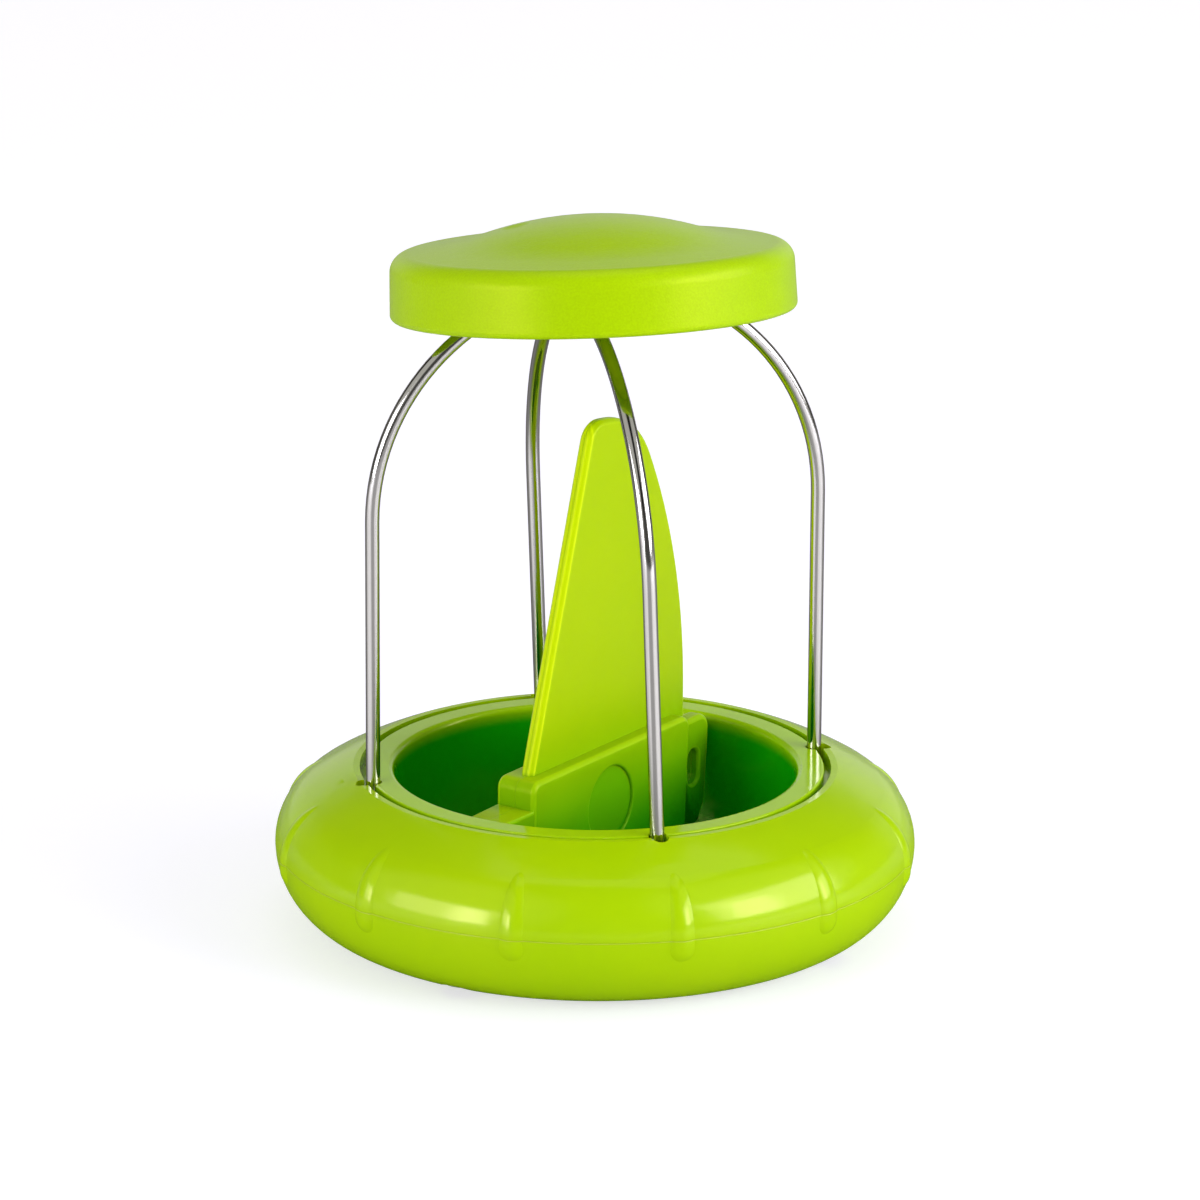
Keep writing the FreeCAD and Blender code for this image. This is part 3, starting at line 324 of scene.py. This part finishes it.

# %% [markdown]
# Two effects belong to the knife, both painted light. The floor of its thumb recess
# gets a painted shade, a little deeper in colour. The back of its blade gets two
# painted highlights, one stripe along each of its edges, where light from inside
# the thin plastic leaves it. Both are found by measuring in the knife's own
# directions: how far a place is from the recess's axis, and how far it is on the
# way round the back, from the middle of the back to the blade's side.


# %% Painted shade of the recess floor and painted highlights on the back
def painted_recess_shade(tree, place, colour, middle, axis, radius, recess_shade_colour):
    """Painted shade: recess_shade_colour inside a round recess, faded out just before its rim.
    """
    arm = calc_vector(tree, "SUBTRACT", place, middle)
    off_axis = measure(tree, "LENGTH", calc_vector(tree, "CROSS_PRODUCT", arm, axis))
    inside = ease(tree, off_axis, radius * 0.90, radius * 0.985, 0.6, 0.0)
    return blend(tree, inside, colour, recess_shade_colour)


def painted_back_highlight(tree, place, colour, point, inward, sideways, half, lowest, bright):
    """Painted highlights, two stripes along a thin back. point is on it, inward leads from it
    into the blade, half is half its width, and below the height lowest there are no stripes."""
    depth = measure(tree, "DOT_PRODUCT", calc_vector(tree, "SUBTRACT", place, point), inward)
    off_middle = calc(tree, "ABSOLUTE", measure(tree, "DOT_PRODUCT", place, sideways))
    to_edge = calc(tree, "MAXIMUM", calc(tree, "SUBTRACT", half, off_middle), 0.0)
    way_round = stretch(tree, calc(tree, "SUBTRACT", depth, to_edge), -0.0005, 0.0015)
    stripes = grey_ramp(tree, way_round, [
        (0.0, 0.40), (0.15, 0.42), (0.25, 0.80), (0.34, 0.35), (0.46, 0.45),
        (0.54, 0.85), (0.64, 0.20), (0.80, 0.0), (1.0, 0.0)])
    on_blade = ease(tree, height_of(tree, place), lowest, lowest + 0.0006)
    return blend(tree, calc(tree, "MULTIPLY", stripes, on_blade), colour, bright)


print("effects: recess floor, bright back")

# %% [markdown]
# The last effects are the parting line and the gloss. The line has a colour of its
# own, which on the ring is a pale painted highlight, and lies a hair lower than the
# skin beside it. The gloss is a little duller where hands have rubbed the tool, and
# duller still in the hair marks.


# %% Parting line and gloss
def parting_line(tree, place, colour, skin, direction, level, line_colour, amount):
    """The colour and the skin's height, with a line where place along direction is level."""
    along = measure(tree, "DOT_PRODUCT", place, direction)
    line = add(tree, "ShaderNodeGroup", {"Place": along, "Level": level}, node_tree=seam_line)
    mask = line.outputs["Mask"]
    lined = blend(tree, calc(tree, "MULTIPLY", mask, amount), colour, line_colour)
    return lined, calc(tree, "MULTIPLY_ADD", mask, -1.1, skin)


def worn_gloss(tree, place, cloud, roughness, marks):
    """The roughness, with a slow change and with hair marks that are duller by marks."""
    hairs = add(
        tree, "ShaderNodeGroup", {"Vector": place, "Scale": 420.0, "Rare": 0.74},
        node_tree=hair_marks)
    rubbed = stretch(tree, cloud, 0.0, 1.0, roughness * 0.85, roughness * 1.2)
    return calc(tree, "MULTIPLY_ADD", hairs.outputs["Mask"], marks, rubbed)


print("effects: parting line, gloss")

# %% [markdown]
# ## The recipe of the plastic
#
# The pigment is so pure that it shows hardly any blue. The reflection straight
# ahead is tinted like it, which is what the tint of the specular does, and only a
# grazing one is white. A little light also travels under the skin, red and green
# farther than blue, so thin edges glow yellow. One recipe serves every piece, with
# its own gloss, waviness and extras.


# %% Recipe: lime plastic
def lime_plastic(name, pigment, roughness, wave_scale, wave_depth, fine, glow, marks,
                 mirror_blue=0.22, mirror=0.6, grain=0.0,
                 hole_shade=None, dish_shade=None, back=None, seam=None):
    """Moulded plastic. fine is the share of fine waves, glow the share of light under the
    skin, marks how dull the hair marks are, mirror the strength of the reflection straight
    ahead and mirror_blue the blue that it keeps. The last four hold what the effects
    painted_hole_shade, painted_recess_shade, painted_back_highlight and parting_line need after the colour."""
    finish = bpy.data.materials.new(name)
    finish.use_nodes = True
    tree = finish.node_tree
    shader = tree.nodes["Principled BSDF"].inputs
    shader["IOR"].default_value = 1.5
    shader["Specular IOR Level"].default_value = mirror
    shader["Specular Tint"].default_value = (1.0, 0.85, mirror_blue, 1.0)
    shader["Subsurface Weight"].default_value = glow
    shader["Subsurface Radius"].default_value = (1.0, 0.95, 0.05)
    shader["Subsurface Scale"].default_value = 0.0016
    place = add(tree, "ShaderNodeTexCoord").outputs["Object"]
    colour, cloud = clouded_pigment(tree, place, pigment)
    if grain:
        colour = satin_grain(tree, place, colour, grain)
    # painted shade low in the hole and in the recess, painted highlights on the blade's back
    if hole_shade:
        colour = painted_hole_shade(tree, place, colour, *hole_shade)
    if dish_shade:
        colour = painted_recess_shade(tree, place, colour, *dish_shade)
    if back:
        colour = painted_back_highlight(tree, place, colour, *back)
    skin = add(
        tree, "ShaderNodeGroup", {"Vector": place, "Scale": wave_scale, "Fine": fine},
        node_tree=skin_waves).outputs["Height"]
    if seam:
        colour, skin = parting_line(tree, place, colour, skin, *seam)
    bump = add(
        tree, "ShaderNodeBump", {"Strength": 1.0, "Distance": wave_depth, "Height": skin})
    tree.links.new(colour, shader["Base Color"])
    tree.links.new(worn_gloss(tree, place, cloud, roughness, marks), shader["Roughness"])
    tree.links.new(bump.outputs["Normal"], shader["Normal"])
    return finish


print("recipe ready: lime plastic")

# %% [markdown]
# ## The plastic of ring, collar and cap
#
# The two shells of the ring are glossy and carry the hairline where they meet, at
# 11.65 mm above the table, with a painted highlight along it. The collar's wall is
# the wall of the round hole, so its lower part gets the painted shade, a deeper
# green. The cap has a satin skin with short, fine waves.

# %% Finishes of ring, collar and cap
lime = linear(167, 204, 2)
# the pale colour of the ring's hairline is a painted highlight along it
ring_finish = lime_plastic(
    "ring_lime", lime, roughness=0.15, wave_scale=160.0, wave_depth=0.00006, fine=0.05,
    glow=0.25, marks=0.10, mirror_blue=0.38,
    seam=((0.0, 0.0, 1.0), 0.01165, linear(214, 232, 96), 0.45))
collar_finish = lime_plastic(
    "collar_lime", linear(163, 205, 4), roughness=0.12, wave_scale=160.0,
    wave_depth=0.00005, fine=0.05, glow=0.3, marks=0.10,
    # painted shade: the deeper green low on the wall of the hole
    hole_shade=(linear(14, 168, 3), 0.0200, 0.0225))
cap_finish = lime_plastic(
    "cap_lime", lime, roughness=0.31, wave_scale=480.0, wave_depth=0.00004, fine=0.8,
    glow=0.25, marks=0.06, mirror_blue=0.10, mirror=0.45, grain=0.05)
print("plastic finishes:", ring_finish.name, collar_finish.name, cap_finish.name)

# %% [markdown]
# ## The plastic of the knife
#
# The knife is less shiny and changes its shade from place to place: a painted shade
# makes it deep green at the foot of the handle, it is plain on the blade, and a
# painted highlight makes it brighter on its rounded edges. Its effects are placed
# in its own directions, along it as seen from above and across it. The back of the
# blade is a straight line between its two outermost corners, and these are looked
# up in the CAD mesh.

# %% Landmarks of the knife
knife_turn = math.radians(40.5)
knife_along = Vector((math.cos(knife_turn), math.sin(knife_turn), 0.0))
knife_across = Vector((math.sin(knife_turn), -math.cos(knife_turn), 0.0))
half_handle = 0.00325
half_back = 0.0005
thumb_middle = knife_along * -0.0008 + Vector((0.0, 0.0, 0.0175))
thumb_radius = 0.00545
thumb_depth = 0.0010

# the corners of the back are half its width off the middle plane, above the handle
corners = [vert.co for vert in nodes["knife"].data.vertices]
back_corners = [
    c for c in corners
    if abs(abs(c.dot(knife_across)) - half_back) < 0.00003 and c.z > 0.0250]
low_back = min(back_corners, key=lambda c: c.dot(knife_along))
high_back = min((c for c in back_corners if c.z > 0.0600), key=lambda c: c.dot(knife_along))
rise = high_back.z - low_back.z
run = (high_back - low_back).dot(knife_along)
inward = (knife_along * rise - Vector((0.0, 0.0, run))).normalized()
print("the back of the blade leans", round(math.degrees(math.atan2(run, rise)), 1), "degrees")

# %% [markdown]
# Light that has travelled inside the plastic leaves it at the rounded edges, and
# that is painted on. So the knife gets two finishes, one for its faces and, for its
# edges, a brighter one that is a painted highlight. The effects are the same in
# both, so that they go on without a break from a face to the edge beside it.

# %% Finishes of the knife
mould_line = (knife_across, 0.0, linear(140, 184, 20), 0.35)
# painted highlights along the back of the blade, with their pale colour
blade_back_highlight = (low_back, inward, knife_across, half_back, 0.0254, linear(212, 232, 10))
knife_finish = lime_plastic(
    "knife_lime", linear(170, 200, 1), roughness=0.34, wave_scale=220.0,
    wave_depth=0.00005, fine=0.10, glow=0.4, marks=0.04, mirror_blue=0.06, mirror=0.22,
    # painted shade: deep green at the foot of the handle, deep in the hole
    hole_shade=(linear(12, 152, 2), 0.0080, 0.0356), seam=mould_line, back=blade_back_highlight,
    # painted shade on the floor of the thumb recess
    dish_shade=(thumb_middle, knife_across, thumb_radius, linear(92, 168, 2)))
# the same plastic, brighter: a painted highlight on the rounded edges
knife_edge_highlight_finish = lime_plastic(
    "knife_edge_highlight_lime", linear(175, 205, 4), roughness=0.30, wave_scale=220.0,
    wave_depth=0.00005, fine=0.10, glow=0.4, marks=0.04, mirror_blue=0.15, mirror=0.35,
    hole_shade=(linear(84, 186, 5), 0.0080, 0.0320), seam=mould_line, back=blade_back_highlight,
    dish_shade=(thumb_middle, knife_across, thumb_radius + 0.0015, linear(84, 160, 2)))
print("knife finishes:", knife_finish.name, knife_edge_highlight_finish.name)

# %% [markdown]
# ## The steel
#
# The wires are polished stainless rod. Drawing the rod leaves lines along it, too
# fine to see one by one, but they vary its gloss and its shade a little. The tint
# of a metal's specular darkens its grazing reflection, which gives a round rod its
# dark outline. The screws under the ring are brushed zinc plated steel and are
# seldom seen.


# %% Recipe: steel
def steel(name, colour, roughness, line_scale):
    """Metal with fine lines, line_scale of them to the metre."""
    finish = bpy.data.materials.new(name)
    finish.use_nodes = True
    tree = finish.node_tree
    shader = tree.nodes["Principled BSDF"].inputs
    shader["Metallic"].default_value = 1.0
    shader["Specular Tint"].default_value = (0.45, 0.44, 0.42, 1.0)
    place = add(tree, "ShaderNodeTexCoord").outputs["Object"]
    lines = add(
        tree, "ShaderNodeTexNoise",
        {"Vector": place, "Scale": line_scale, "Detail": 3.0}).outputs["Fac"]
    gloss = stretch(tree, lines, 0.3, 0.7, roughness * 0.75, roughness * 1.35)
    darker = tuple(c * 0.93 for c in colour[:3]) + (1.0,)
    bump = add(tree, "ShaderNodeBump", {"Distance": 0.000004, "Height": lines})
    tree.links.new(blend(tree, lines, darker, colour), shader["Base Color"])
    tree.links.new(gloss, shader["Roughness"])
    tree.links.new(bump.outputs["Normal"], shader["Normal"])
    return finish


wire_finish = steel(
    "polished_wire", (0.66, 0.64, 0.575, 1.0), roughness=0.10, line_scale=900.0)
screw_finish = steel(
    "brushed_screw", (0.62, 0.62, 0.60, 1.0), roughness=0.28, line_scale=2200.0)
print("steel finishes:", wire_finish.name, screw_finish.name)

# %% [markdown]
# ## The knife, with rounded edges
#
# The edges of a moulded knife are never sharp, because the mould was rounded where
# it was polished. The CAD knife has the right shape with crisp edges. A copy of its
# mesh gets the roundings and stands in for it. The floor of the thumb recess also
# leans: towards the ear it is 0.6 mm shallower, and the copy has that too.

# %% Copy the knife and tilt the floors of its thumb recesses
knife_mesh = nodes["knife"].data.copy()
knife_mesh.name = "stored_knife"
shape = bmesh.new()
shape.from_mesh(knife_mesh)
bmesh.ops.remove_doubles(shape, verts=shape.verts, dist=0.000002)

floor_rise = 0.0006
tilted = 0
for vert in shape.verts:
    side = vert.co.dot(knife_across)
    arm = vert.co - thumb_middle
    run = arm.dot(knife_along)
    on_floor = abs(abs(side) - (half_handle - thumb_depth)) < 0.00002
    if on_floor and math.hypot(run, arm.z) < thumb_radius * 1.01:
        lift = floor_rise * (run + thumb_radius) / (2.0 * thumb_radius)
        vert.co += knife_across * math.copysign(lift, side)
        tilted += 1
print("corners of the recess floors moved:", tilted)

# %% [markdown]
# Each kind of edge has a rounding of its own: a fine one along the blade, a wider
# one at the rim of the thumb recess, more at the slot and the tab, and the widest
# round the ear. An edge is told by the place of its middle.

# %% Choose the width of each rounding
blade_width, recess_width, tab_width, widest = 0.00018, 0.00032, 0.00045, 0.0007
blade_foot = 0.0262  # height where the blade begins
blade_half = 0.00107  # edges closer than this to the knife's middle plane are the blade's
recess_reach = 0.0062
slot_along, slot_height = 0.02315, 0.0162
tab_along = -0.0190


def rounding_width(middle):
    """The width of the rounding for an edge with this middle."""
    along = middle.dot(knife_along)
    if middle.z > blade_foot or abs(middle.dot(knife_across)) < blade_half:
        return blade_width
    if (middle - thumb_middle).cross(knife_across).length < recess_reach:
        return recess_width
    in_slot = abs(along - slot_along) < 0.0018 and abs(middle.z - slot_height) < 0.0031
    if in_slot or along < tab_along:
        return tab_width
    return widest


print("roundings from", blade_width * 1000.0, "to", widest * 1000.0, "mm")

# %% [markdown]
# Only outward edges are rounded. The others stay crisp, and so does the underside
# of the handle, deep in the hole where nobody sees it. The handle's long edges are
# round in the CAD already: their small faces are found by how far they are turned,
# and get the edges' finish with its painted highlight.

# %% Mark the edges and the bright faces
bmesh.ops.dissolve_limit(
    shape, angle_limit=math.radians(0.4), verts=shape.verts, edges=shape.edges)
weights = shape.edges.layers.float.new("bevel_weight_edge")
sharp_angle = math.radians(28.0)
hidden_below = 0.0085
rounded = 0
for edge in shape.edges:
    if len(edge.link_faces) != 2 or edge.calc_face_angle(0.0) < sharp_angle:
        continue
    if not edge.is_convex:
        edge.smooth = False
        continue
    if max(vert.co.z for vert in edge.verts) < hidden_below:
        continue
    middle = (edge.verts[0].co + edge.verts[1].co) / 2.0
    edge[weights] = rounding_width(middle) / widest
    rounded += 1

painted_highlight_faces = 0
# faces on the handle's round edges get the painted edge highlight
for face in shape.faces:
    turned = abs(face.normal.dot(knife_across))
    if face.calc_center_median().z < blade_foot and 0.10 < turned < 0.97:
        face.material_index = 1
        painted_highlight_faces += 1
print("edges to round:", rounded, "and faces on the handle's round edges:", painted_highlight_faces)

# %% [markdown]
# The finishes go on the mesh before the shape is written back, because emptying the
# list of finishes later would forget which faces carry the painted highlight. The
# rounding itself is a modifier. Its new faces take the second finish, the painted
# edge highlight.

# %% The knife that is shown
knife_mesh.materials.clear()
knife_mesh.materials.append(knife_finish)
knife_mesh.materials.append(knife_edge_highlight_finish)
shape.to_mesh(knife_mesh)
shape.free()
for face in knife_mesh.polygons:
    face.use_smooth = True

stored_knife = bpy.data.objects.new("stored_knife", knife_mesh)
bpy.context.scene.collection.objects.link(stored_knife)
rounding = stored_knife.modifiers.new("rounding", "BEVEL")
rounding.width = widest
rounding.segments = 4
rounding.limit_method = "WEIGHT"
rounding.harden_normals = True
rounding.material = 1
rounding.use_clamp_overlap = False
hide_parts("knife")
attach(stored_knife, "knife_body")
print("faces before the rounding:", len(knife_mesh.polygons))

# %% [markdown]
# ## Dressing the CAD pieces
#
# The other pieces are shown as they come from the CAD, each with its finish. The
# knife's own CAD node gets one as well, though its copy is what is shown.

# %% Give the CAD nodes their finishes
finish_of = {
    "upper_shell": ring_finish,
    "lower_shell": ring_finish,
    "inner_collar": collar_finish,
    "upper_wire_arch": wire_finish,
    "lower_wire_arch": wire_finish,
    "knife": knife_finish,
    "cap": cap_finish,
    "shell_screws": screw_finish,
}
for name, finish in finish_of.items():
    for slot in nodes[name].material_slots:
        slot.material = finish
print("finishes set on", len(finish_of), "nodes")

# %% [markdown]
# ## The table
#
# The ring stands on a white table. It is a plain disc, a hair below the foot of the
# ring so that the two never share a plane.

# %% The table's disc
table_radius = 2.2
table_mesh = bpy.data.meshes.new("table")
shape = bmesh.new()
bmesh.ops.create_circle(shape, cap_ends=True, segments=96, radius=table_radius)
shape.to_mesh(table_mesh)
shape.free()
table = bpy.data.objects.new("table", table_mesh)
table.location = (0, 0, -0.00002)
bpy.context.scene.collection.objects.link(table)
print("table radius:", table_radius, "m")

# %% [markdown]
# What shiny things see of the table is painted light and shade, a grey sweep: pale
# to both sides of the camera, where the soft boxes light it, darker straight below
# the camera and behind the tool, and a painted shade close to it. Right beside the
# ring a painted green stands for the light that the ring throws onto the table.

# %% What shiny things see of the table: painted light, shade and green
white_table = bpy.data.materials.new("white_table")
white_table.use_nodes = True
tree = white_table.node_tree
place = add(tree, "ShaderNodeTexCoord").outputs["Object"]
reach = measure(tree, "LENGTH", place)
heading = calc_vector(tree, "NORMALIZE", place)
to_camera = (-0.266, -0.964, 0.0)
share = stretch(tree, measure(tree, "DOT_PRODUCT", heading, to_camera), -1.0, 1.0)
painted_light_sweep = grey_ramp(tree, share, [
    (0.0, 0.32), (0.45, 0.34), (0.58, 1.0), (0.93, 1.0), (0.972, 0.50), (1.0, 0.46)])
painted_shade_sweep = scaled(tree, painted_light_sweep, ease(tree, reach, 0.06, 0.14, 0.45, 1.0))
painted_green_bounce = (0.30, 0.44, 0.03, 1.0)
green_reach = 0.055
spill = ease(tree, reach, green_reach, 2.0 * green_reach)
mirrored = blend(tree, spill, painted_green_bounce, painted_shade_sweep)
print("the mirrored table is green to", green_reach, "m from the middle")

# %% [markdown]
# What the camera sees is partly lit and partly the white of the picture itself,
# added as a glow, so the shadow stays soft. All other light meets a plain white
# table. Far from the tool the table fades into the white behind it, so that no
# horizon shows.

# %% What the camera sees of the table
rays = add(tree, "ShaderNodeLightPath").outputs
plain_white = (0.80, 0.80, 0.80, 1.0)
picture_white = (0.465, 0.452, 0.50, 1.0)
tone = blend(tree, rays["Is Camera Ray"], plain_white, picture_white)
surface = tree.nodes["Principled BSDF"]
surface.inputs["Roughness"].default_value = 0.6
surface.inputs["Specular IOR Level"].default_value = 0.2
tree.links.new(
    blend(tree, rays["Is Glossy Ray"], tone, mirrored), surface.inputs["Base Color"])
glow_strength = calc(tree, "MULTIPLY", rays["Is Camera Ray"], 0.64)
glow = add(tree, "ShaderNodeEmission", {"Strength": glow_strength}).outputs[0]
both = add(tree, "ShaderNodeAddShader", {0: surface.outputs[0], 1: glow}).outputs[0]
clear = add(tree, "ShaderNodeBsdfTransparent").outputs[0]
fade = ease(tree, reach, 0.6, 1.6)
faded = add(tree, "ShaderNodeMixShader", {0: fade, 1: both, 2: clear}).outputs[0]
tree.links.new(faded, tree.nodes["Material Output"].inputs["Surface"])
table_mesh.materials.append(white_table)
print("table material:", white_table.name)

# %% [markdown]
# ## The room
#
# The camera sees the room as plain white, and dull surfaces get an even light from
# it. Shiny ones see it as a studio is: dim walls, a pale backdrop low behind the
# tool, and a pale patch of wall round each of the two big soft boxes. The dim parts
# are what gives the steel its dark lines.


# %% A direction from the ring
def direction(azimuth, elevation):
    """The way out from the ring, in degrees: azimuth from +X, elevation from the table."""
    a, e = math.radians(azimuth), math.radians(elevation)
    return Vector((math.cos(a) * math.cos(e), math.sin(a) * math.cos(e), math.sin(e)))


right_box_side = direction(-36.0, 30.0)
left_box_side = direction(-162.0, 26.0)
print("right side:", tuple(round(c, 3) for c in right_box_side))

# %% The world
world = bpy.data.worlds.new("white_room")
bpy.context.scene.world = world
world.use_nodes = True
tree = world.node_tree
background = tree.nodes["Background"].inputs
way = add(tree, "ShaderNodeTexCoord").outputs["Generated"]
rays = add(tree, "ShaderNodeLightPath").outputs

from_camera = (0.266, 0.964, 0.0)
backdrop = ease(tree, measure(tree, "DOT_PRODUCT", way, from_camera), 0.60, 0.98, 0.08, 0.68)
low_only = ease(tree, height_of(tree, way), 0.27, 0.46, 1.0, 0.18)
sheet = calc(tree, "MULTIPLY", backdrop, low_only)
patches = [
    ease(tree, measure(tree, "DOT_PRODUCT", way, side), 0.70, 0.88, 0.0, 0.55)
    for side in (right_box_side, left_box_side)]
room = calc(tree, "MAXIMUM", calc(tree, "MAXIMUM", *patches), sheet)
inside = pick(tree, rays["Is Glossy Ray"], 0.55, room)
tree.links.new(pick(tree, rays["Is Camera Ray"], inside, 1.0), background["Strength"])
background["Color"].default_value = (1.0, 1.0, 1.0, 1.0)
print("world:", world.name)

# %% [markdown]
# ## The soft boxes
#
# A soft box is a lamp behind a white cloth, which is what an area lamp is. A broad
# one stands in front on the right and a smaller one on the left; they make the two
# pale patches on the ring. Beside each of them a narrow, brighter window gives its
# patch a bright core. One more box hangs above. Their light is a little cool: the
# pigment throws its blue away, so only the highlights look whiter.


# %% Place the soft boxes
def soft_box(name, azimuth, elevation, distance, width, height, radiance):
    """A lamp at that side of the ring and that distance from it, facing it."""
    outward = direction(azimuth, elevation)
    lamp = bpy.data.lights.new(name, "AREA")
    lamp.shape = "RECTANGLE"
    lamp.size, lamp.size_y = width, height
    lamp.energy = radiance * math.pi * width * height
    lamp.color = (1.0, 0.99, 1.2)
    box = bpy.data.objects.new(name, lamp)
    box.location = outward * distance + Vector((0, 0, 0.03))
    box.rotation_euler = outward.to_track_quat("Z", "Y").to_euler()
    bpy.context.scene.collection.objects.link(box)
    return box


# name, azimuth, elevation, distance, width, height, radiance
lamps = [
    soft_box("right_box", -36.0, 22.0, 1.2, 1.15, 0.72, 3.6),
    soft_box("right_window", -46.0, 18.0, 1.15, 0.34, 0.52, 4.6),
    soft_box("left_box", -162.0, 13.0, 1.2, 0.8, 0.5, 3.4),
    soft_box("left_window", -150.0, 11.0, 1.15, 0.26, 0.44, 6.2),
    soft_box("top_box", 60.0, 78.0, 1.4, 1.0, 1.0, 0.5),
]
bpy.context.scene.view_settings.view_transform = "Standard"
print("lamps:", [lamp.name for lamp in lamps])
